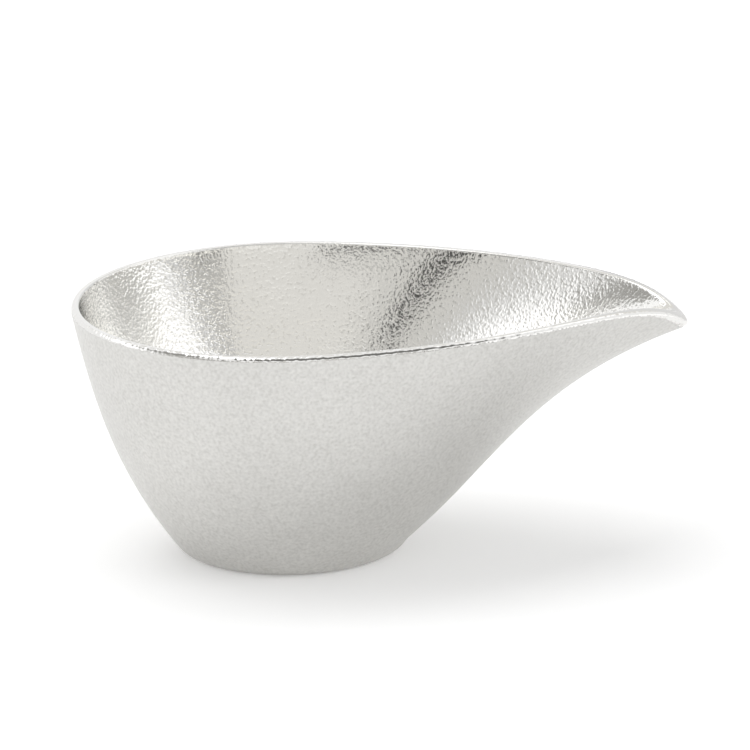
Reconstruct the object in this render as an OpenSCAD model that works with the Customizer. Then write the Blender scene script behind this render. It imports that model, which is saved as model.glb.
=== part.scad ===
// Katakuchi: a one-handed sake pourer, cast in tin in one piece.
// A round bowl on a small flat base draws out on one side into a beak-shaped spout.
// The base is centred on the origin and stands on the plane z = 0. The spout points along +X.

/* [Base] */
// Radius at which the line of the wall would meet the table, mm
base_radius = 25; // [20:0.5:28]
// Thickness of the floor, from the table to the inside of the bowl, mm
floor_thickness = 3; // [2:0.25:5]
// Radius of the rounded edge between the standing face and the wall, mm
base_edge_round = 4.5; // [1:0.25:4.75]
// Size of the fillet inside the bowl, where the wall meets the floor, mm
floor_fillet = 6; // [3:0.5:9]

/* [Bowl] */
// Radius of the round back of the rim, mm
rim_radius = 48.7; // [42:0.1:56]
// Height of the rim above the table, mm
rim_height = 58; // [50:0.5:68]
// Slope of the wall where it leaves the base, degrees from level
base_wall_angle = 53.5; // [46:0.5:62]
// Slope of the wall where it reaches the rim, degrees from level
rim_wall_angle = 78.5; // [72:0.5:84]
// Thickness of the wall, measured square to its face, mm
wall_thickness = 2; // [1.5:0.1:3]

/* [Spout] */
// Distance from the middle of the base to the sharp line of the lip, before it is rounded, mm
spout_reach = 91.9; // [80:0.1:104]
// Slope of the spout's keel where it leaves the base, degrees from level
keel_base_angle = 40; // [36:0.5:45]
// Slope of the spout's keel just under the lip, degrees from level
keel_lip_angle = 27.5; // [24:0.5:34]
// How far the keel swells out beyond that curve on its way up to the lip, mm
keel_fullness = 2.2; // [0:0.1:4]
// How close to the lip the keel swells, as a power
keel_power = 5; // [3:0.5:8]
// Share by which the two flanks are drawn in at the tip
flank_pinch = 0.52; // [0.2:0.02:0.6]
// How late along the spout the flanks are drawn in, as a power
flank_power = 5; // [3:0.1:6]

/* [Lip] */
// Drop of the lip's outer edge below the rim, mm
lip_drop = 8; // [5:0.25:10]
// Drop of the crest, where the pouring channel ends, below the rim, mm
crest_drop = 4; // [2:0.25:5]
// How close to the tip the drop is kept, as a power
nose_power = 18; // [10:1:24]
// How close to the rim the drop is kept, as a power
drop_power = 4; // [3:0.5:6]
// Thickness of the wall at the tip of the lip, measured square to its face, mm
lip_thickness = 2.8; // [2:0.1:3.5]
// Depth of the rounding at the nose of the lip, outside, mm
nose_round = 2; // [1:0.25:4]
// Share of the lip's width that this rounding takes
nose_share = 0.48; // [0.3:0.02:0.55]
// Depth of the rounding at the end of the pouring channel, inside, mm
crest_round = 1.5; // [0.8:0.1:2.5]
// Share of the lip's width that this rounding takes
crest_share = 0.4; // [0.2:0.05:0.42]

/* [Rim] */
// Depth of the bevel along the rim's outer edge, down the wall, mm
bevel_depth = 0.9; // [0.5:0.1:1.5]
// Share of the rim's width that the bevel takes
bevel_share = 0.42; // [0.2:0.02:0.55]
// How full the bevel is, from a straight cut (0) to the sharp corner (1)
bevel_fullness = 0.25; // [0.1:0.05:1]
// Depth of the small rounding along the rim's inner edge, down the wall, mm
inner_round = 0.5; // [0.3:0.1:1.2]
// Share of the rim's width that the inner rounding takes
inner_share = 0.15; // [0.1:0.05:0.4]

/* [Smoothness] */
// Facets around the vessel
around = 96; // [48:8:120]
// Facets up the wall, on each face
up_wall = 16; // [10:1:20]
// Facets across each rounded edge
across_edge = 4; // [3:1:6]

/* [Hidden] */
full_turn = 360;
wall_height = rim_height - floor_thickness;
base_top_radius = base_radius + floor_thickness * cotangent(base_wall_angle);
swell_scale = (keel_power + 1)^(keel_power + 1) / keel_power^keel_power;
floor_radius = skin_radius(0, 1) - floor_fillet;

function cotangent(angle) = 1 / tan(angle);
function mix(a, b, share) = a + (b - a) * share;

// A cubic that leaves v0 with slope s0 at t = 0 and reaches v1 with slope s1 at t = 1.
function cubic(t, v0, v1, s0, s1) =
    v0 + (v1 - v0) * (3 * t^2 - 2 * t^3) + s0 * (t - 2 * t^2 + t^3) + s1 * (t^3 - t^2);
function cubic_slope(t, v0, v1, s0, s1) =
    (v1 - v0) * (6 * t - 6 * t^2) + s0 * (1 - 4 * t + 3 * t^2) + s1 * (3 * t^2 - 2 * t);

// Outer radius of the round back of the bowl, t running from the base (0) to the rim (1).
function bowl_ends() = [
    base_top_radius,
    rim_radius,
    wall_height * cotangent(base_wall_angle),
    wall_height * cotangent(rim_wall_angle)
];
function bowl_radius(t) = let (e = bowl_ends()) cubic(t, e[0], e[1], e[2], e[3]);
function bowl_slope(t) = let (e = bowl_ends()) cubic_slope(t, e[0], e[1], e[2], e[3]) / wall_height;

// Outer reach of the keel, which runs down the middle of the spout's underside.
function keel_ends() = [
    base_top_radius,
    spout_reach,
    wall_height * cotangent(keel_base_angle),
    wall_height * cotangent(keel_lip_angle)
];
function keel_swell(t) = keel_fullness * swell_scale * t^keel_power * (1 - t);
function keel_swell_slope(t) =
    keel_fullness * swell_scale * (keel_power * t^(keel_power - 1) - (keel_power + 1) * t^keel_power);
function keel_reach(t) = let (e = keel_ends()) cubic(t, e[0], e[1], e[2], e[3]) + keel_swell(t);
function keel_slope(t) =
    let (e = keel_ends())
    (cubic_slope(t, e[0], e[1], e[2], e[3]) + keel_swell_slope(t)) / wall_height;

// The same two lines on a skin at a depth from 0, the outer face, to 1, the inner face.
// The thickness of the wall is laid off square to the outer face.
function keel_thickness(t) = mix(wall_thickness, lip_thickness, t^drop_power);
function skin_radius(t, depth) = bowl_radius(t) - depth * wall_thickness * sqrt(1 + bowl_slope(t)^2);
function skin_reach(t, depth) = keel_reach(t) - depth * keel_thickness(t) * sqrt(1 + keel_slope(t)^2);

// 1 straight ahead at the tip of the spout, 0 from the sides of the bowl round the back.
function ahead(turn) = max(cos(turn), 0);
function nose(turn) = ahead(turn)^nose_power;

// A point of a skin. The back of each level is a circle. Towards the tip the circle is drawn out
// to the keel's reach, its flanks are drawn in, and near the rim it sinks by the drop.
function skin(turn, t, depth, drop) =
    let (radius = skin_radius(t, depth))
    let (stretch = skin_reach(t, depth) - radius)
    let (full_stretch = skin_reach(1, depth) - skin_radius(1, depth))
    let (pinch = flank_pinch * stretch / full_stretch * ahead(turn)^flank_power)
    [
        cos(turn) * (radius + stretch * ahead(turn)),
        sin(turn) * radius * (1 - pinch),
        floor_thickness + wall_height * t - drop * nose(turn) * t^drop_power
    ];
function outer_skin(turn, t) = skin(turn, t, 0, lip_drop);
function inner_skin(turn, t) = skin(turn, t, 1, crest_drop);

// A value that holds all round the rim and changes to another one at the very nose of the lip.
function along_rim(turn, at_rim, at_nose) = mix(at_rim, at_nose, nose(turn)^2);

// How far up each face the cast skin goes before the polished edge starts.
function outer_end(turn) = 1 - along_rim(turn, bevel_depth, nose_round) / wall_height;
function inner_end(turn) = 1 - along_rim(turn, inner_round, crest_round) / wall_height;

// Points along a rounded corner: a parabola from a to b that leaves both along lines to the corner.
function rounded(a, corner, b) = [
    for (i = [0 : across_edge])
        let (v = i / across_edge)
        (1 - v)^2 * a + 2 * v * (1 - v) * corner + v^2 * b
];

// The floor's edge under the fillet, straight inwards from the corner of wall and floor.
function floor_edge(turn) =
    let (corner = inner_skin(turn, 0))
    let (share = floor_radius / skin_radius(0, 1))
    [corner.x * share, corner.y * share, corner.z];

// One outline of the wall: up the outside, across under the rim, down the inside, round the fillet.
function wall_outline(turn) =
    let (fillet_end = floor_fillet / wall_height)
    let (outside = [for (i = [0 : up_wall]) outer_skin(turn, outer_end(turn) * i / up_wall)])
    let (inside = [
        for (i = [0 : up_wall - 1])
            inner_skin(turn, mix(inner_end(turn), fillet_end, i / up_wall))
    ])
    let (fillet = rounded(inner_skin(turn, fillet_end), inner_skin(turn, 0), floor_edge(turn)))
    concat(outside, inside, fillet);

// One outline of the rim: up round its inner edge, across the flat top, down the bevel outside.
function rim_outline(turn) =
    let (inner_corner = inner_skin(turn, 1))
    let (outer_corner = outer_skin(turn, 1))
    let (inner_start = inner_skin(turn, inner_end(turn)))
    let (outer_start = outer_skin(turn, outer_end(turn)))
    let (top_inside = mix(inner_corner, outer_corner, along_rim(turn, inner_share, crest_share)))
    let (top_outside = mix(outer_corner, inner_corner, along_rim(turn, bevel_share, nose_share)))
    let (straight_cut = (top_outside + outer_start) / 2)
    let (bevel_corner = mix(straight_cut, outer_corner, along_rim(turn, bevel_fullness, 1)))
    concat(
        rounded(inner_start, inner_corner, top_inside),
        rounded(top_outside, bevel_corner, outer_start)
    );

// A closed solid from one closed outline at each turn. A forward outline runs anticlockwise in
// the plane that faces a viewer who has the middle of the vessel on the left.
module ring_solid(outlines, forward) {
    turns = len(outlines);
    steps = len(outlines[0]);
    function at(i, j) = (i % turns) * steps + j % steps;
    triangles = [
        for (i = [0 : turns - 1], j = [0 : steps - 1])
            each [
                [at(i, j), at(i, j + 1), at(i + 1, j + 1)],
                [at(i, j), at(i + 1, j + 1), at(i + 1, j)]
            ]
    ];
    faces = forward ? triangles : [for (f = triangles) [f[2], f[1], f[0]]];
    polyhedron(points = [for (outline = outlines) each outline], faces = faces);
}

function turns_of_vessel() = [for (i = [0 : around - 1]) full_turn * i / around];

module cast_wall() {
    color([0.78, 0.77, 0.75])
        ring_solid([for (turn = turns_of_vessel()) wall_outline(turn)], true);
}

module polished_rim() {
    color([0.84, 0.83, 0.81])
        ring_solid([for (turn = turns_of_vessel()) rim_outline(turn)], false);
}

// The floor is turned: a flat standing face, a rounded edge and a side that runs on into the wall.
module ground_base() {
    edge_round = min(base_edge_round, floor_thickness / (1 - cos(base_wall_angle)));
    edge_run = edge_round * tan(base_wall_angle / 2);
    edge_turn = base_wall_angle / across_edge;
    edge = [
        for (i = [0 : across_edge])
            [
                base_radius - edge_run + edge_round * sin(edge_turn * i),
                edge_round * (1 - cos(edge_turn * i))
            ]
    ];
    side = [[base_top_radius, floor_thickness], [0, floor_thickness], [0, 0]];
    color([0.66, 0.65, 0.63])
        rotate_extrude($fn = around)
            polygon(concat(edge, side));
}

cast_wall();
ground_base();
polished_rim();
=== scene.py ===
# %% [markdown]
# # A katakuchi: a sake pourer cast in tin
# The real vessel is one casting. Molten tin is poured into a sand mould, so the wall keeps a fine
# grain, inside and out. The edge is then ground and polished bright, and the underside is ground flat.
# This lesson builds the three zones as surfaces worked out with numpy, gives each its finish, and
# lights them as a small studio would. The frame is loaded first, because every piece sits in it.

# %% Load the frame
import math

import bpy
import numpy as np
from mathutils import Matrix, Quaternion, Vector


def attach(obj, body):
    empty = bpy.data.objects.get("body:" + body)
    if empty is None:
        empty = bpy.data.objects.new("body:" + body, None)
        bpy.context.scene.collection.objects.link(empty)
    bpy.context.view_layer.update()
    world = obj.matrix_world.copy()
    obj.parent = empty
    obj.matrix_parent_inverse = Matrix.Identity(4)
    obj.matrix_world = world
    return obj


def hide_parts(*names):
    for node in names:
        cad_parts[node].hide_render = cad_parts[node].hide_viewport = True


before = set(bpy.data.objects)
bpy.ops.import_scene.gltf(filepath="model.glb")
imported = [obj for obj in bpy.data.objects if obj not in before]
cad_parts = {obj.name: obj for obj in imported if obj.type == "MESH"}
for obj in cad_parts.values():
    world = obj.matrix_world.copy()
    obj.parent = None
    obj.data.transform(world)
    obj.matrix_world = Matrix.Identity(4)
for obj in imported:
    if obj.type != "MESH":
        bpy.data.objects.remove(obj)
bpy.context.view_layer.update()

print("nodes in the frame:", sorted(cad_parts))

# %% [markdown]
# ## The shape of the vessel
# Two lines drive the whole form. One is the side of the round bowl, seen from behind. The other is the
# keel, the line down the middle of the spout's underside. Each is a cubic that leaves the base at one
# slope and reaches the rim at another. Between the two lines every level of the bowl is a circle at the
# back that is drawn out into a beak at the front. A formula was chosen over sculpting, because the same
# few sizes then give the outside, the inside and the rim, and the wall stays as thick as cast tin.

# %% Sizes of the vessel, in millimetres and degrees
MM = 0.001

# Base: the line of the wall would meet the table at this radius.
BASE_RADIUS = 25.0
FLOOR_THICKNESS = 3.0
BASE_EDGE_ROUND = 4.5
FLOOR_FILLET = 6.0

# Bowl: the angles are slopes from level.
RIM_RADIUS = 48.7
RIM_HEIGHT = 58.0
BASE_WALL_ANGLE = 53.5
RIM_WALL_ANGLE = 78.5
WALL_THICKNESS = 2.0

# Spout: a higher power keeps its effect closer to the tip or to the rim.
SPOUT_REACH = 91.9
KEEL_BASE_ANGLE = 40.0
KEEL_LIP_ANGLE = 27.5
KEEL_FULLNESS = 2.2
KEEL_POWER = 5.0
FLANK_PINCH = 0.52
FLANK_POWER = 5.0

# Lip: its outer edge and the crest of the pouring channel sink below the rim.
LIP_DROP = 8.0
CREST_DROP = 4.0
NOSE_POWER = 18.0
DROP_POWER = 4.0
LIP_THICKNESS = 2.8

# Rim: depths and spans go down the wall, and shares are of the rim's width.
EDGE_BEAD = 0.17
EDGE_SPAN = 1.7
BEVEL_DEPTH = 0.9
BEVEL_SHARE = 0.42
BEVEL_FULLNESS = 0.25
NOSE_ROUND = 2.0
NOSE_SHARE = 0.48
INNER_ROUND = 0.5
INNER_SHARE = 0.15
CREST_ROUND = 1.5
CREST_SHARE = 0.4

WALL_HEIGHT = RIM_HEIGHT - FLOOR_THICKNESS


def cotangent(angle):
    """One over the tangent of an angle in degrees: how far a slope runs for each step it climbs."""
    return 1.0 / math.tan(math.radians(angle))


BASE_TOP_RADIUS = BASE_RADIUS + FLOOR_THICKNESS * cotangent(BASE_WALL_ANGLE)
print("wall rises", WALL_HEIGHT, "mm from a circle of radius", round(BASE_TOP_RADIUS, 2), "mm")


# %% The two driving lines
def cubic(t, start, end, start_slope, end_slope):
    """A cubic from start to end, as t goes from 0 to 1, with the given slope at each end."""
    rise = (end - start) * (3 * t**2 - 2 * t**3)
    return start + rise + start_slope * (t - 2 * t**2 + t**3) + end_slope * (t**3 - t**2)


def cubic_slope(t, start, end, start_slope, end_slope):
    """The slope of that cubic at t."""
    rise = (end - start) * (6 * t - 6 * t**2)
    return rise + start_slope * (1 - 4 * t + 3 * t**2) + end_slope * (3 * t**2 - 2 * t)


def line_ends(reach, low_angle, high_angle):
    """The four numbers of a driving line: its reach at the base and the rim, and its slopes there."""
    return (
        BASE_TOP_RADIUS,
        reach,
        WALL_HEIGHT * cotangent(low_angle),
        WALL_HEIGHT * cotangent(high_angle),
    )


BOWL_LINE = line_ends(RIM_RADIUS, BASE_WALL_ANGLE, RIM_WALL_ANGLE)
KEEL_LINE = line_ends(SPOUT_REACH, KEEL_BASE_ANGLE, KEEL_LIP_ANGLE)
KEEL_SWELL = KEEL_FULLNESS * (KEEL_POWER + 1) ** (KEEL_POWER + 1) / KEEL_POWER**KEEL_POWER


def mix(a, b, share):
    """The value a share of the way from a to b."""
    return a + (b - a) * share


def bowl_radius(t, depth):
    """Radius of the bowl at level t on a skin at a depth from 0, outside, to 1, inside.

    The wall's thickness is laid off square to the outer face, so it is lengthened by the slope.
    """
    slope = cubic_slope(t, *BOWL_LINE) / WALL_HEIGHT
    return cubic(t, *BOWL_LINE) - depth * WALL_THICKNESS * np.sqrt(1 + slope**2)


def keel_reach(t, depth):
    """Reach of the keel at level t on a skin at a depth from 0, outside, to 1, inside.

    It is the keel's cubic, plus a swelling that peaks below the lip, less the thickness of the wall.
    """
    swell = KEEL_SWELL * t**KEEL_POWER * (1 - t)
    swell_slope = KEEL_SWELL * (KEEL_POWER * t ** (KEEL_POWER - 1) - (KEEL_POWER + 1) * t**KEEL_POWER)
    slope = (cubic_slope(t, *KEEL_LINE) + swell_slope) / WALL_HEIGHT
    thickness = mix(WALL_THICKNESS, LIP_THICKNESS, t**DROP_POWER)
    return cubic(t, *KEEL_LINE) + swell - depth * thickness * np.sqrt(1 + slope**2)


print("keel reaches out", round(float(keel_reach(1.0, 0.0)), 2), "mm, before the lip is rounded")


# %% A skin of the wall
def ahead(turn):
    """1 straight ahead at the tip of the spout, and 0 from the sides of the bowl round the back."""
    return np.clip(np.cos(turn), 0.0, None)


def nose(turn):
    """How much a direction belongs to the nose: ahead raised to a high power, so it dies away fast."""
    return ahead(turn) ** NOSE_POWER


def edge_bead(turn, t):
    """Thickness of a low bead inside the rim.

    It is fullest along the flanks, by the square of the sine, and dies away down the wall.
    """
    return EDGE_BEAD * np.sin(turn) ** 2 * np.exp((t - 1) * WALL_HEIGHT / EDGE_SPAN)


def skin(turn, t, depth):
    """Points in mm on a skin of the wall, for a turn about the axis and a level t from base to rim.

    Along the spout the circle is drawn out by ahead times the stretch, the flanks are drawn in by a
    power of ahead, and the level sinks towards the nose by a power of t.
    """
    radius = bowl_radius(t, depth) - depth * edge_bead(turn, t)
    stretch = keel_reach(t, depth) - radius
    full_stretch = keel_reach(1.0, depth) - bowl_radius(1.0, depth)
    pinch = FLANK_PINCH * stretch / full_stretch * ahead(turn) ** FLANK_POWER
    drop = mix(LIP_DROP, CREST_DROP, depth) * nose(turn) * t**DROP_POWER
    x = np.cos(turn) * (radius + stretch * ahead(turn))
    y = np.sin(turn) * radius * (1 - pinch)
    z = FLOOR_THICKNESS + WALL_HEIGHT * t - drop
    return np.stack(np.broadcast_arrays(x, y, z), axis=-1)


def along_rim(turn, at_rim, at_nose):
    """A value that holds all round the rim and changes to another one at the very nose of the lip."""
    return mix(at_rim, at_nose, nose(turn) ** 2)


def polished_end(turn, depth):
    """The level at which the polish starts on the outer face, depth 0, or the inner face, depth 1."""
    if depth == 0:
        return 1 - along_rim(turn, BEVEL_DEPTH, NOSE_ROUND) / WALL_HEIGHT
    return 1 - along_rim(turn, INNER_ROUND, CREST_ROUND) / WALL_HEIGHT


def rounded(a, corner, b, steps):
    """A corner rounded by a parabola from a to b, which leaves both ends on lines to the corner."""
    v = np.linspace(0.0, 1.0, steps)[None, :, None]
    return (1 - v) ** 2 * a[:, None] + 2 * v * (1 - v) * corner[:, None] + v**2 * b[:, None]


print("rim stands", round(float(skin(math.pi, 1.0, 0.0)[2]), 2), "mm high at the back")

# %% [markdown]
# ## From a grid of points to a mesh
# Each piece is a closed outline carried once round the vessel, so its points form a grid that wraps
# both ways, like the skin of a ring. Building the faces from the grid's own indices keeps every seam
# closed and every face pointing outwards. The grid also carries named values, one number per point,
# that the finishes read later: for example whether a point lies inside the bowl.


# %% Mesh builder
SHARP_ANGLE = math.radians(35)


def ring_mesh(name, grid, outward, values):
    """Makes a mesh object from a grid of points in mm, turns by steps, that wraps in both directions.

    Every cell of the grid is one quad. outward says if the outline runs anticlockwise, with the axis of
    the vessel on its left. values maps a name to one number per point, stored as a float attribute.
    """
    turns, steps = grid.shape[:2]
    index = np.arange(turns * steps).reshape(turns, steps)
    next_turn = np.roll(index, -1, axis=0)
    quads = np.stack(
        [index, np.roll(index, -1, axis=1), np.roll(next_turn, -1, axis=1), next_turn], axis=-1
    ).reshape(-1, 4)
    if not outward:
        quads = quads[:, ::-1]
    mesh = bpy.data.meshes.new(name)
    mesh.vertices.add(turns * steps)
    mesh.vertices.foreach_set("co", (grid * MM).astype(np.float32).ravel())
    mesh.loops.add(quads.size)
    mesh.loops.foreach_set("vertex_index", quads.astype(np.int32).ravel())
    mesh.polygons.add(len(quads))
    mesh.polygons.foreach_set("loop_start", np.arange(0, quads.size, 4, dtype=np.int32))
    mesh.update(calc_edges=True)
    mesh.validate()
    for value_name, value in values.items():
        spread = np.broadcast_to(value, (turns, steps)).astype(np.float32)
        layer = mesh.attributes.new(value_name, "FLOAT", "POINT")
        layer.data.foreach_set("value", spread.ravel())
    mesh.shade_smooth()
    mesh.set_sharp_from_angle(angle=SHARP_ANGLE)
    piece = bpy.data.objects.new(name, mesh)
    bpy.context.collection.objects.link(piece)
    print(name, "has", len(quads) * 2, "triangles")
    return piece


def around(turns):
    """The turns about the axis, evenly spaced, as a column that meets the levels in a row."""
    return np.linspace(0.0, 2 * math.pi, turns, endpoint=False)[:, None]


# %% [markdown]
# ## The cast wall
# The wall is most of the casting: one sheet of tin, 2 mm thick, that runs from the base up to the rim
# and out into the spout. Its outline goes up the outside, across under the rim, down the inside and
# round the fillet at the floor. The steps down the inside crowd together under the rim, because a low
# bead makes the wall a little steeper there, and bright metal shows every change of slope.

# %% Cast wall
WALL_TURNS = 440
OUTSIDE_STEPS = 106
INSIDE_STEPS = 98
FILLET_STEPS = 16
CROWDING = 1.5


def wall_grid():
    """The wall's outline at every turn, and two values: which points lie inside, and in the channel."""
    turn = around(WALL_TURNS)
    up = np.linspace(0.0, 1.0, OUTSIDE_STEPS)[None, :]
    down = 1.0 - np.linspace(0.0, 1.0, INSIDE_STEPS)[None, :-1] ** CROWDING
    fillet_end = FLOOR_FILLET / WALL_HEIGHT
    outside = skin(turn, up * polished_end(turn, 0), 0.0)
    inside = skin(turn, mix(fillet_end, polished_end(turn, 1), down), 1.0)
    fillet_start = skin(turn[:, 0], fillet_end, 1.0)
    corner = skin(turn[:, 0], 0.0, 1.0)
    kept = 1 - FLOOR_FILLET / bowl_radius(0.0, 1.0)
    floor_edge = corner * [kept, kept, 1]
    fillet = rounded(fillet_start, corner, floor_edge, FILLET_STEPS)
    grid = np.concatenate([outside, inside, fillet], axis=1)
    inner = np.zeros((1, grid.shape[1]))
    inner[:, OUTSIDE_STEPS:] = 1.0
    return grid, {"inner": inner, "channel": inner * ahead(turn) ** 2}


wall_points, wall_values = wall_grid()
cast_wall = ring_mesh("cast_wall_skin", wall_points, True, wall_values)
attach(cast_wall, "root")
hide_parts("cast_wall")

# %% [markdown]
# ## The edge of the rim
# After casting, the edge is filed and polished by hand. It keeps a flat top a little under a millimetre
# wide, a small rounding on the inside and a bevel on the outside, and at the tip both corners grow into
# the soft nose of the lip. A file never runs quite true, so the width of the bevel wanders by a few
# hundredths of a millimetre. That is enough to break the dark line that the bevel mirrors into dashes.

# %% Polished rim
RIM_TURNS = 1400
CORNER_STEPS = 18
FILE_MARKS = np.array([71.0, 127.0, 181.0, 263.0])
FILE_PHASES = np.array([0.4, 2.1, 4.0, 1.2])
FILE_WANDER = 0.035


def filed_width(turn):
    """The share by which the bevel's width strays: a sum of sines that do not keep step."""
    return FILE_WANDER * np.sin(turn[:, None] * FILE_MARKS + FILE_PHASES).sum(axis=1)


def rim_grid():
    """The rim's outline at every turn: a small inner rounding, the flat top and a bevel outside.

    The bevel is a parabola whose corner lies a share of the way from a straight cut to the sharp edge.
    """
    turn = around(RIM_TURNS)[:, 0]
    inner_start = skin(turn, polished_end(turn, 1), 1.0)
    outer_start = skin(turn, polished_end(turn, 0), 0.0)
    inner_corner = skin(turn, 1.0, 1.0)
    outer_corner = skin(turn, 1.0, 0.0)
    top_inside = mix(inner_corner, outer_corner, along_rim(turn, INNER_SHARE, CREST_SHARE)[:, None])
    bevel_share = BEVEL_SHARE * (1 + filed_width(turn))
    top_outside = mix(outer_corner, inner_corner, along_rim(turn, bevel_share, NOSE_SHARE)[:, None])
    fullness = along_rim(turn, BEVEL_FULLNESS, 1.0)[:, None]
    bevel_corner = mix((top_outside + outer_start) / 2, outer_corner, fullness)
    inside = rounded(inner_start, inner_corner, top_inside, CORNER_STEPS)
    outside = rounded(top_outside, bevel_corner, outer_start, CORNER_STEPS)
    return np.concatenate([inside, outside], axis=1)


climb = np.linspace(1.0, 0.0, CORNER_STEPS)
rim_values = {
    "foot": np.concatenate([climb, climb[::-1]])[None, :],
    "inner": np.repeat([1.0, 0.0], CORNER_STEPS)[None, :],
}
polished_rim = ring_mesh("polished_rim_edge", rim_grid(), False, rim_values)
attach(polished_rim, "root")
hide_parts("polished_rim")

# %% [markdown]
# ## The ground base
# The floor of the casting is a disc that carries the wall. Its outline runs out along the standing
# face, round the edge, up the side and back along the floor of the bowl to the axis. A profile carried
# round in circles suits it, because the real face is ground flat while the vessel spins.

# %% Ground base
BASE_TURNS = 360
FACE_STEPS = 24
EDGE_STEPS = 24
SIDE_STEPS = 4
AXIS_RADIUS = 0.02


def base_grid():
    """A turned outline: the standing face, an arc, the side and the floor, carried round in circles.

    The outline stops a hair short of the axis on both faces, and a tiny tube closes it there.
    """
    run = BASE_EDGE_ROUND * math.tan(math.radians(BASE_WALL_ANGLE / 2))
    face_radius = BASE_RADIUS - run
    lean = np.radians(np.linspace(0.0, BASE_WALL_ANGLE, EDGE_STEPS))
    edge_radius = face_radius + BASE_EDGE_ROUND * np.sin(lean)
    edge = np.stack([edge_radius, BASE_EDGE_ROUND * (1 - np.cos(lean))], 1)
    face_radii = np.linspace(AXIS_RADIUS, face_radius, FACE_STEPS)[:-1]
    face = np.stack([face_radii, np.zeros(FACE_STEPS - 1)], 1)
    climb = np.linspace(0.0, 1.0, SIDE_STEPS)[1:, None]
    side = mix(edge[-1], np.array([BASE_TOP_RADIUS, FLOOR_THICKNESS]), climb)
    floor_radii = np.linspace(BASE_TOP_RADIUS, AXIS_RADIUS, FACE_STEPS)[1:]
    floor = np.stack([floor_radii, np.full(FACE_STEPS - 1, FLOOR_THICKNESS)], 1)
    outline = np.concatenate([face, edge, side, floor])
    values = {
        "ground": np.repeat([1.0, 0.0], [len(face) + 1, len(outline) - len(face) - 1])[None, :],
        "inner": np.repeat([0.0, 1.0], [len(outline) - len(floor), len(floor)])[None, :],
    }
    turn = around(BASE_TURNS)
    radius, height = outline[:, 0][None], outline[:, 1][None]
    x, y = radius * np.cos(turn), radius * np.sin(turn)
    return np.stack(np.broadcast_arrays(x, y, height), axis=-1), values


base_points, base_values = base_grid()
ground_base = ring_mesh("ground_base_floor", base_points, True, base_values)
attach(ground_base, "root")
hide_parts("ground_base")

# %% [markdown]
# ## The grain of the sand mould
# Cast tin takes a print of the sand it was poured against: soft pebbles, a little under a millimetre
# across, with a pit here and there where a grain stood out. The grain is a node group, because the
# wall, the floor and the foot of the rim all show it. It reads the place of a point in the vessel, so
# it runs on from piece to piece without a seam.


# %% Node helpers
def add_node(tree, kind, inputs=None, **settings):
    """Adds a node with its settings. An input is given a plain value, or a socket to link it to."""
    made = tree.nodes.new(kind)
    for name, value in settings.items():
        setattr(made, name, value)
    for name, value in (inputs or {}).items():
        if isinstance(value, bpy.types.NodeSocket):
            tree.links.new(value, made.inputs[name])
        else:
            made.inputs[name].default_value = value
    return made


def arithmetic(tree, operation, *values):
    """The result of a sum on values or sockets, such as MULTIPLY or MULTIPLY_ADD."""
    return add_node(tree, "ShaderNodeMath", dict(enumerate(values)), operation=operation).outputs[0]


def blend(tree, share, first, second):
    """A number that goes from the first value to the second as share goes from 0 to 1."""
    made = add_node(tree, "ShaderNodeMix", {0: share, 2: first, 3: second}, data_type="FLOAT")
    return made.outputs[0]


def blend_colour(tree, share, first, second):
    """A colour that goes from the first to the second as share goes from 0 to 1."""
    made = add_node(tree, "ShaderNodeMix", {0: share, 6: first, 7: second}, data_type="RGBA")
    return made.outputs[2]


def attribute(tree, name):
    """The value that the mesh carries under a name."""
    return add_node(tree, "ShaderNodeAttribute", attribute_name=name).outputs["Fac"]


def noise(tree, place, scale, detail, roughness):
    """A noise of about 0 to 1, whose spots lie about one over the scale apart, in metres."""
    inputs = {"Vector": place, "Scale": scale, "Detail": detail, "Roughness": roughness}
    return add_node(tree, "ShaderNodeTexNoise", inputs).outputs["Fac"]


# %% Cast grain
PEBBLE_SCALE = 1400.0
PEBBLE_DETAIL = 1.0
PEBBLE_ROUGHNESS = 0.4
UNEVEN_SCALE = 420.0
UNEVEN_DETAIL = 1.0
UNEVEN_SHARE = 0.6
MOTTLE_SCALE = 60.0
MOTTLE_DETAIL = 3.0
PLAIN_ROUGHNESS = 0.5
PIT_SPAN = (0.3, 0.46)
PIT_DEPTH = 0.2


def cast_grain_group():
    """Node group for the print of the sand: its height, its pits, its pebbles and a slow mottle.

    The height is the pebbles, less the depth of the pits, plus a share of a broader unevenness.
    """
    tree = bpy.data.node_groups.new("cast grain", "ShaderNodeTree")
    for name in ("Pebble Scale", "Pit Depth"):
        tree.interface.new_socket(name, in_out="INPUT", socket_type="NodeSocketFloat")
    for name in ("Height", "Pits", "Pebbles", "Mottle"):
        tree.interface.new_socket(name, in_out="OUTPUT", socket_type="NodeSocketFloat")
    given = add_node(tree, "NodeGroupInput").outputs
    place = add_node(tree, "ShaderNodeTexCoord").outputs["Object"]
    pebbles = noise(tree, place, given["Pebble Scale"], PEBBLE_DETAIL, PEBBLE_ROUGHNESS)
    uneven = noise(tree, place, UNEVEN_SCALE, UNEVEN_DETAIL, PLAIN_ROUGHNESS)
    deep, level = PIT_SPAN
    pits = add_node(
        tree,
        "ShaderNodeMapRange",
        {"Value": pebbles, 1: deep, 2: level, 3: 1.0, 4: 0.0},
        interpolation_type="SMOOTHSTEP",
    ).outputs["Result"]
    lost = arithmetic(tree, "MULTIPLY", pits, given["Pit Depth"])
    pitted = arithmetic(tree, "SUBTRACT", pebbles, lost)
    results = {
        "Height": arithmetic(tree, "MULTIPLY_ADD", uneven, UNEVEN_SHARE, pitted),
        "Pits": pits,
        "Pebbles": pebbles,
        "Mottle": noise(tree, place, MOTTLE_SCALE, MOTTLE_DETAIL, PLAIN_ROUGHNESS),
    }
    add_node(tree, "NodeGroupOutput", results)
    return tree


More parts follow.
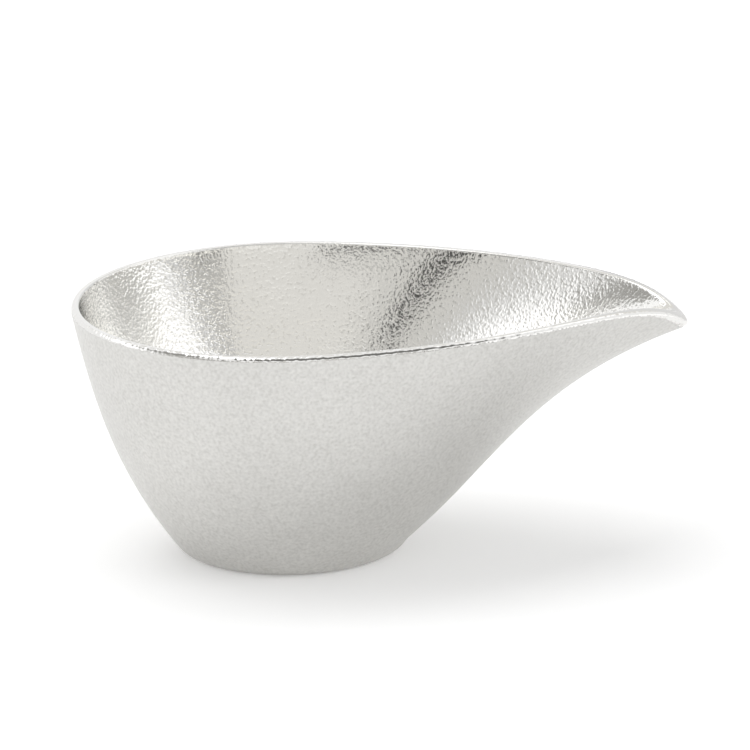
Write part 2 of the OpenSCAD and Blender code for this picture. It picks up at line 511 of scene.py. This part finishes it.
cast_grain = cast_grain_group()
print("grain group has", [item.name for item in cast_grain.interface.items_tree])

# %% [markdown]
# ## The cast skin
# Cast tin is bare metal. Outside it is satin, and each pebble is painted a slightly lighter or darker
# spot: painted light and shade on the relief of the grain, over a slow random mottle of the tin. Inside
# it is bright, so the grain shows mostly by what it mirrors. Both sides share one set of nodes, and the
# mesh says which side a point lies on, so the change falls exactly at the rim. The pits of the grain
# are painted darker, as painted shade, and the pouring channel is a little smoother than the rest of
# the bowl.

# %% Cast skin
# OUTSIDE_DARK and OUTSIDE_LIGHT paint light and shade onto the pebbles of the outside, mixed with a
# slow random mottle of the tin.
OUTSIDE_DARK = (0.54, 0.533, 0.512, 1.0)
OUTSIDE_LIGHT = (0.815, 0.808, 0.785, 1.0)
INSIDE_TIN = (0.95, 0.944, 0.924, 1.0)
# This tone and the two shares below it paint shade into the pits of the grain.
PAINTED_PIT_SHADE = (0.5, 0.49, 0.46, 1.0)
OUTSIDE_PIT_SHADE = 0.08
INSIDE_PIT_SHADE = 0.25
MOTTLE_SHARE = 0.2
GRAIN_DEPTH = 0.000065
CHANNEL_GRAIN = 0.55
OUTSIDE_ROUGHNESS = 0.38
INSIDE_ROUGHNESS = 0.12


def new_material(name):
    """An empty material: its node tree and the socket that takes the finished surface."""
    material = bpy.data.materials.new(name)
    material.use_nodes = True
    tree = material.node_tree
    tree.nodes.clear()
    surface = add_node(tree, "ShaderNodeOutputMaterial").inputs["Surface"]
    return material, tree, surface


def cast_skin(tree):
    """Sockets for the colour, roughness and grain height of the cast skin, inside and outside."""
    sand = {"Pebble Scale": PEBBLE_SCALE, "Pit Depth": PIT_DEPTH}
    grain = add_node(tree, "ShaderNodeGroup", sand, node_tree=cast_grain).outputs
    inner = attribute(tree, "inner")
    # The pebbles' share of this tone is painted light and shade on their relief; the mottle's share is
    # a slow random tone of the tin.
    shade = blend(tree, MOTTLE_SHARE, grain["Pebbles"], grain["Mottle"])
    outside = blend_colour(tree, shade, OUTSIDE_DARK, OUTSIDE_LIGHT)
    bright = blend_colour(tree, inner, outside, INSIDE_TIN)
    # Painted shade: the pits of the grain are darkened in colour, more inside than out.
    pit_shade_share = blend(tree, inner, OUTSIDE_PIT_SHADE, INSIDE_PIT_SHADE)
    painted_pit_shade = arithmetic(tree, "MULTIPLY", grain["Pits"], pit_shade_share)
    colour = blend_colour(tree, painted_pit_shade, bright, PAINTED_PIT_SHADE)
    roughness = blend(tree, inner, OUTSIDE_ROUGHNESS, INSIDE_ROUGHNESS)
    smoothed = blend(tree, attribute(tree, "channel"), 1.0, CHANNEL_GRAIN)
    height = arithmetic(tree, "MULTIPLY", grain["Height"], smoothed)
    return colour, roughness, height


def metal(tree, surface, colour, roughness, height):
    """A bare metal surface with a bump of the given height."""
    bump = add_node(tree, "ShaderNodeBump", {"Height": height, "Distance": GRAIN_DEPTH})
    look = {"Base Color": colour, "Metallic": 1.0, "Roughness": roughness, "Normal": bump.outputs[0]}
    shader = add_node(tree, "ShaderNodeBsdfPrincipled", look)
    tree.links.new(shader.outputs["BSDF"], surface)


def cast_tin():
    """The finish of the wall: the cast skin and nothing else."""
    material, tree, surface = new_material("cast tin")
    metal(tree, surface, *cast_skin(tree))
    return material


cast_wall.data.materials.append(cast_tin())
print("wall is finished in", cast_wall.data.materials[0].name)

# %% [markdown]
# ## The polish on the rim
# The rim is the same tin after a file, a wheel and a cloth, so it is smooth and mirrors the studio.
# Along its two feet the polish runs out into the cast skin. A straight border would look like tape, so
# the grain's height is added to the distance from the top before the border is drawn, and the border
# then follows the pebbles.

# %% Polished tin
POLISHED_TIN = (0.84, 0.833, 0.815, 1.0)
POLISHED_ROUGHNESS = 0.09
POLISHED_GRAIN = 0.3
GRAIN_IN_BORDER = 0.9
BORDER_SPAN = (1.55, 1.75)


def polished_tin():
    """The finish of the rim: a bright polish that runs out unevenly into the cast skin."""
    material, tree, surface = new_material("polished tin")
    colour, roughness, height = cast_skin(tree)
    way_out = arithmetic(tree, "MULTIPLY_ADD", height, GRAIN_IN_BORDER, attribute(tree, "foot"))
    start, end = BORDER_SPAN
    cast = add_node(tree, "ShaderNodeMapRange", {"Value": way_out, 1: start, 2: end}).outputs["Result"]
    metal(
        tree,
        surface,
        blend_colour(tree, cast, POLISHED_TIN, colour),
        blend(tree, cast, POLISHED_ROUGHNESS, roughness),
        arithmetic(tree, "MULTIPLY", height, blend(tree, cast, POLISHED_GRAIN, 1.0)),
    )
    return material


polished_rim.data.materials.append(polished_tin())
print("rim is finished in", polished_rim.data.materials[0].name)

# %% [markdown]
# ## The ground underside
# The standing face is ground flat on a wheel while the vessel turns, which leaves fine rings. No two
# rings are alike, so they come from a noise that is read along the radius alone. The edge of the base
# and the floor of the bowl keep the cast skin, so one material blends the two by the value that the
# mesh carries.

# %% Ground tin
GROUND_DARK = (0.48, 0.472, 0.456, 1.0)
GROUND_LIGHT = (0.84, 0.828, 0.804, 1.0)
GROUND_ROUGHNESS = 0.36
RING_SCALE = 700.0
RING_DETAIL = 2.0
RING_DEPTH = 0.5


def ground_tin():
    """The finish of the base: rings from the wheel underneath, and the cast skin elsewhere."""
    material, tree, surface = new_material("ground tin")
    colour, roughness, height = cast_skin(tree)
    ground = attribute(tree, "ground")
    place = add_node(tree, "ShaderNodeTexCoord").outputs["Object"]
    radius = add_node(tree, "ShaderNodeVectorMath", {0: place}, operation="LENGTH").outputs["Value"]
    rings = add_node(
        tree,
        "ShaderNodeTexNoise",
        {"W": radius, "Scale": RING_SCALE, "Detail": RING_DETAIL},
        noise_dimensions="1D",
    ).outputs["Fac"]
    marks = arithmetic(tree, "MULTIPLY", rings, RING_DEPTH)
    metal(
        tree,
        surface,
        blend_colour(tree, ground, colour, blend_colour(tree, rings, GROUND_DARK, GROUND_LIGHT)),
        blend(tree, ground, roughness, GROUND_ROUGHNESS),
        blend(tree, ground, height, marks),
    )
    return material


ground_base.data.materials.append(ground_tin())
print("base is finished in", ground_base.data.materials[0].name)

# %% [markdown]
# ## The studio floor
# The vessel stands on a white sheet that keeps its soft shadow. The sheet is painted white and also
# lifted a little by a glow that only the camera and mirrored rays see, so that it comes out as pure
# white where nothing shades it, and the shadow stays.

# %% Floor
FLOOR_HALF = 3.0
FLOOR_WHITE = (0.97, 0.97, 0.97, 1.0)
FLOOR_LIFT = 0.22
MIRRORED_LIFT = 0.17
FAR_LIFT = 0.35
NEAR_FLOOR = 0.3
FAR_FLOOR = 1.5


def seen_directly(tree, mirrored=1.0):
    """1 for rays from the camera, another level for mirrored rays, and 0 for light on the scene."""
    path = add_node(tree, "ShaderNodeLightPath").outputs
    bounced = arithmetic(tree, "MAXIMUM", path["Is Glossy Ray"], path["Is Transmission Ray"])
    return arithmetic(tree, "MULTIPLY_ADD", bounced, mirrored, path["Is Camera Ray"])


def studio_floor():
    """A white sheet that keeps the shadow and is lifted to pure white where nothing shades it."""
    half = FLOOR_HALF
    mesh = bpy.data.meshes.new("studio_floor")
    corners = [(-half, -half, 0), (half, -half, 0), (half, half, 0), (-half, half, 0)]
    mesh.from_pydata(corners, [], [(0, 1, 2, 3)])
    material, tree, surface = new_material("studio white")
    paint = add_node(tree, "ShaderNodeBsdfDiffuse", {"Color": FLOOR_WHITE})
    place = add_node(tree, "ShaderNodeTexCoord").outputs["Object"]
    distance = add_node(tree, "ShaderNodeVectorMath", {0: place}, operation="LENGTH").outputs["Value"]
    rise = {"Value": distance, 1: NEAR_FLOOR, 2: FAR_FLOOR, 3: 0.0, 4: FAR_LIFT}
    far = add_node(tree, "ShaderNodeMapRange", rise).outputs["Result"]
    near = arithmetic(tree, "MULTIPLY", seen_directly(tree, MIRRORED_LIFT / FLOOR_LIFT), FLOOR_LIFT)
    lift = arithmetic(tree, "MULTIPLY_ADD", far, seen_directly(tree, 0.0), near)
    glow = add_node(tree, "ShaderNodeEmission", {"Strength": lift})
    both = add_node(tree, "ShaderNodeAddShader", {0: paint.outputs[0], 1: glow.outputs[0]})
    tree.links.new(both.outputs[0], surface)
    mesh.materials.append(material)
    sheet = bpy.data.objects.new("studio_floor", mesh)
    bpy.context.collection.objects.link(sheet)


studio_floor()
print("floor is", FLOOR_HALF * 2, "m wide")

# %% [markdown]
# ## Surroundings and lamps
# The room is white on every side. Three soft lamps light the floor: a wide one above and behind, which
# throws the shadow to the front right, and a softbox at either side. They are hidden from mirrored
# rays, because the cards in the next step are what the metal shows, and the two jobs are then set
# apart.

# %% White surroundings
AMBIENT_LEVEL = 0.55
WORLD_WHITE = (1.0, 1.0, 1.0, 1.0)


def white_world():
    """A white world: strength 1 where it is seen or mirrored, and a plain level as light."""
    world = bpy.data.worlds.new("studio")
    world.use_nodes = True
    tree = world.node_tree
    strength = blend(tree, seen_directly(tree), AMBIENT_LEVEL, 1.0)
    tree.links.new(strength, tree.nodes["Background"].inputs["Strength"])
    tree.nodes["Background"].inputs["Color"].default_value = WORLD_WHITE
    bpy.context.scene.world = world


white_world()
print("ambient level", AMBIENT_LEVEL)

# %% Lamps
LIT_POINT = Vector((0.02, 0.0, 0.03))
OVERHEAD_PLACE = Vector((-0.3, 0.35, 1.6))
SOFTBOX_DISTANCE = 1.2


def softbox(name, place, width, height, brightness, roll=0.0):
    """A rectangular lamp at a place, turned to the vessel and rolled, as bright as the number given.

    It only lights the scene: neither the camera nor mirrored rays see the lamp itself.
    """
    data = bpy.data.lights.new(name, "AREA")
    data.shape = "RECTANGLE"
    data.size = width
    data.size_y = height
    data.energy = brightness * math.pi * width * height
    lamp = bpy.data.objects.new(name, data)
    lamp.location = place
    facing = (LIT_POINT - place).to_track_quat("-Z", "Y")
    lamp.rotation_euler = (facing @ Quaternion((0.0, 0.0, 1.0), math.radians(roll))).to_euler()
    lamp.visible_camera = False
    lamp.visible_glossy = False
    bpy.context.collection.objects.link(lamp)


def beside_vessel(azimuth, elevation):
    """The place of a softbox, from its compass direction and its height, both in degrees."""
    turn, lift = math.radians(azimuth), math.radians(elevation)
    flat = math.cos(lift)
    direction = Vector((flat * math.cos(turn), flat * math.sin(turn), math.sin(lift)))
    return LIT_POINT + direction * SOFTBOX_DISTANCE


left_place = beside_vessel(azimuth=176.0, elevation=23.5)
right_place = beside_vessel(azimuth=-18.5, elevation=24.0)
softbox("overhead_lamp", OVERHEAD_PLACE, width=1.4, height=1.4, brightness=1.9)
softbox("left_softbox", left_place, width=0.79, height=0.45, brightness=1.4, roll=-32.0)
softbox("right_softbox", right_place, width=1.2, height=0.5, brightness=1.1, roll=-38.0)

# %% [markdown]
# ## What the metal mirrors
# Bright metal has almost no look of its own. The calm panel at the back of the bowl, the specks beside
# it and the white sweep in the spout are all mirror images of the studio, which a photographer shapes
# with cards. Each card here is a patch of a sphere round the vessel, between two compass directions and
# two heights, and only mirrored rays see it. Directions are in degrees, counted anticlockwise from the
# spout.

# %% Card helper
CARD_STEPS = 17
CARD_WARM = (1.0, 0.985, 0.945)
CARD_WHITE = (1.0, 1.0, 1.0)
BLACK = 0.02

# Distances from the vessel in metres: a nearer card hides what lies behind it.
WIDE_LAYER = 1.5
SHADE_LAYER = 1.45
SLIT_LAYER = 1.4
GLOW_LAYER = 1.31
FADE_LAYER = 1.3
FRONT_LAYER = 1.25


def studio_card(
    name, azimuths, heights, level, fade_to=None, lean=0.0, distance=WIDE_LAYER, tint=CARD_WARM
):
    """A curved card that only mirrored rays see: a patch of a sphere, as bright as its level.

    lean turns the card's upper edge about the vessel, by so many degrees for each degree of height.
    With fade_to the level changes smoothly to that value from the first azimuth to the last.
    """
    lift = np.radians(np.linspace(*heights, CARD_STEPS))[None, :]
    turn = np.radians(np.linspace(*azimuths, CARD_STEPS))[:, None] + lean * (lift - lift.mean())
    x = np.cos(lift) * np.cos(turn)
    y = np.cos(lift) * np.sin(turn)
    z = np.broadcast_to(np.sin(lift), x.shape)
    points = np.stack([x, y, z], axis=-1).reshape(-1, 3) * distance + np.array(LIT_POINT)
    index = np.arange(CARD_STEPS**2).reshape(CARD_STEPS, CARD_STEPS)
    corners = [index[:-1, :-1], index[1:, :-1], index[1:, 1:], index[:-1, 1:]]
    quads = np.stack(corners, axis=-1).reshape(-1, 4)
    mesh = bpy.data.meshes.new(name)
    mesh.from_pydata(points.tolist(), [], quads.tolist())
    material, tree, surface = new_material(name)
    strength = level
    if fade_to is not None:
        share = np.linspace(0.0, 1.0, CARD_STEPS)
        levels = np.repeat(mix(level, fade_to, share**2 * (3 - 2 * share)), CARD_STEPS)
        layer = mesh.attributes.new("level", "FLOAT", "POINT")
        layer.data.foreach_set("value", levels.astype(np.float32))
        strength = attribute(tree, "level")
    paint = add_node(tree, "ShaderNodeEmission", {"Color": (*tint, 1.0), "Strength": strength})
    tree.links.new(paint.outputs[0], surface)
    mesh.materials.append(material)
    card = bpy.data.objects.new(name, mesh)
    card.visible_camera = False
    card.visible_diffuse = False
    card.visible_shadow = False
    bpy.context.collection.objects.link(card)


# %% [markdown]
# ## Cards in front and at the left
# A wide grey card in front gives the calm panel at the back of the bowl. Beside it a narrow black slit
# falls on the wall where the bowl turns into the spout, and the grain breaks it up into dark specks. A
# low black slit does the same just under the rim, and another follows at the right. Further left a card
# fades from grey to white, and the spout gathers it into its white sweep. Grey cards above it bound the
# sweep.

# %% Front and left cards
LEFT_GREY = 0.6
LEFT_GLOW = 1.4
LEFT_LEAN = -1.2

studio_card("front_card", (-121.0, -46.0), (-2.0, 32.0), level=0.72)
studio_card("left_card", (-161.0, -121.0), (-2.0, 25.0), level=0.63)
studio_card("left_slit", (-143.2, -134.4), (7.0, 21.0), level=BLACK, lean=0.5, distance=SLIT_LAYER)
studio_card("low_slit", (-138.0, -106.0), (-2.0, 6.6), level=BLACK, distance=SLIT_LAYER)
studio_card("upper_card", (-184.0, -128.0), (24.0, 44.0), level=0.58, lean=-1.72, distance=SHADE_LAYER)
studio_card(
    "left_fade",
    (-161.8, -182.3),
    (22.0, 38.5),
    level=LEFT_GREY,
    fade_to=LEFT_GLOW,
    lean=LEFT_LEAN,
    distance=FADE_LAYER,
    tint=CARD_WHITE,
)
studio_card(
    "left_glow",
    (-186.8, -219.0),
    (22.0, 46.0),
    level=LEFT_GLOW,
    lean=LEFT_LEAN,
    distance=GLOW_LAYER,
    tint=CARD_WHITE,
)
studio_card("high_card", (176.0, 211.0), (38.5, 58.0), level=0.35, distance=SLIT_LAYER)
print("cards in front and at the left are up")

# %% [markdown]
# ## Cards at the right, above and behind
# A card at the right that fades to white makes the pale upright band at the left of the bowl. A dark
# card overhead in front is what the bevel mirrors as a dark line, and the white cards above and behind
# keep the rest of the rim white. A grey card behind shades the nose of the lip.

# %% Right, upper and back cards
RIGHT_GREY = 0.47
RIGHT_GLOW = 1.26
RIGHT_LEAN = -1.63

studio_card("right_card", (-55.0, -17.0), (-2.0, 28.0), level=RIGHT_GREY, distance=SLIT_LAYER)
studio_card("right_slit", (-50.0, -38.0), (-3.0, 5.0), level=BLACK, distance=FRONT_LAYER)
studio_card(
    "right_fade",
    (-41.8, -20.8),
    (2.0, 27.0),
    level=RIGHT_GREY,
    fade_to=RIGHT_GLOW,
    lean=RIGHT_LEAN,
    distance=FADE_LAYER,
    tint=CARD_WHITE,
)
studio_card(
    "right_glow",
    (-26.5, 8.0),
    (2.0, 34.0),
    level=RIGHT_GLOW,
    lean=RIGHT_LEAN,
    distance=GLOW_LAYER,
    tint=CARD_WHITE,
)
studio_card("back_card", (30.0, 150.0), (30.0, 66.0), level=0.83)
studio_card("nose_card", (45.0, 84.0), (-4.0, 30.0), level=0.8, distance=SHADE_LAYER, tint=CARD_WHITE)
studio_card("ceiling_card", (-122.0, -14.0), (48.0, 74.0), level=0.2)
studio_card("top_card", (100.0, 230.0), (62.0, 89.5), level=1.8, distance=SHADE_LAYER, tint=CARD_WHITE)
studio_card("far_card", (15.0, 75.0), (44.0, 66.0), level=1.3, distance=SHADE_LAYER, tint=CARD_WHITE)
print("cards at the right, above and behind are up")

# %% [markdown]
# ## The camera
# The photograph was taken from about 1.7 m away, a little above the rim. The camera's height, roll,
# distance and scale come from fitting the vessel's outline, so the same formula that made the wall also
# placed it.

# %% Camera
FRAME_PX = 750
CAMERA_ELEVATION = 16.846
CAMERA_ROLL = 1.301
CAMERA_DISTANCE = 1743.0
AIM_POINT = Vector((22.0, 0.0, 28.5))
AIM_PIXEL = (386.15, 421.13)
PIXELS_PER_MM = 4.416
SENSOR_WIDTH = 36.0
CLIP_END = 20.0


def photo_camera():
    """A camera that looks along +Y and down, rolled a little, with the aim point at its pixel.

    The camera stands where the outline was fitted from and then turns by the small angle that brings
    the aim point to its place in the frame.
    """
    lift, roll = math.radians(CAMERA_ELEVATION), math.radians(CAMERA_ROLL)
    back = Vector((0.0, -math.cos(lift), math.sin(lift)))
    level_right = Vector((1.0, 0.0, 0.0))
    level_up = back.cross(level_right)
    right = level_right * math.cos(roll) - level_up * math.sin(roll)
    up = level_right * math.sin(roll) + level_up * math.cos(roll)
    place = AIM_POINT + back * CAMERA_DISTANCE
    offset_right = (FRAME_PX / 2 - AIM_PIXEL[0]) / PIXELS_PER_MM
    offset_up = (AIM_PIXEL[1] - FRAME_PX / 2) / PIXELS_PER_MM
    centre = AIM_POINT + right * offset_right + up * offset_up
    back = (place - centre).normalized()
    right = (right - back * right.dot(back)).normalized()
    up = back.cross(right)
    data = bpy.data.cameras.new("photo_camera")
    data.sensor_width = SENSOR_WIDTH
    data.lens = PIXELS_PER_MM * CAMERA_DISTANCE / FRAME_PX * SENSOR_WIDTH
    data.clip_end = CLIP_END
    camera = bpy.data.objects.new("photo_camera", data)
    turn = Matrix((right, up, back)).transposed().to_4x4()
    camera.matrix_world = Matrix.Translation(place * MM) @ turn
    bpy.context.collection.objects.link(camera)
    return camera


bpy.context.scene.camera = photo_camera()
bpy.context.scene.view_settings.view_transform = "Standard"
print("camera lens", round(bpy.context.scene.camera.data.lens, 1), "mm")

# %% [markdown]
# ## The last step
# The lesson ends by bringing the view layer up to date.

# %% Bring the view layer up to date
bpy.context.view_layer.update()
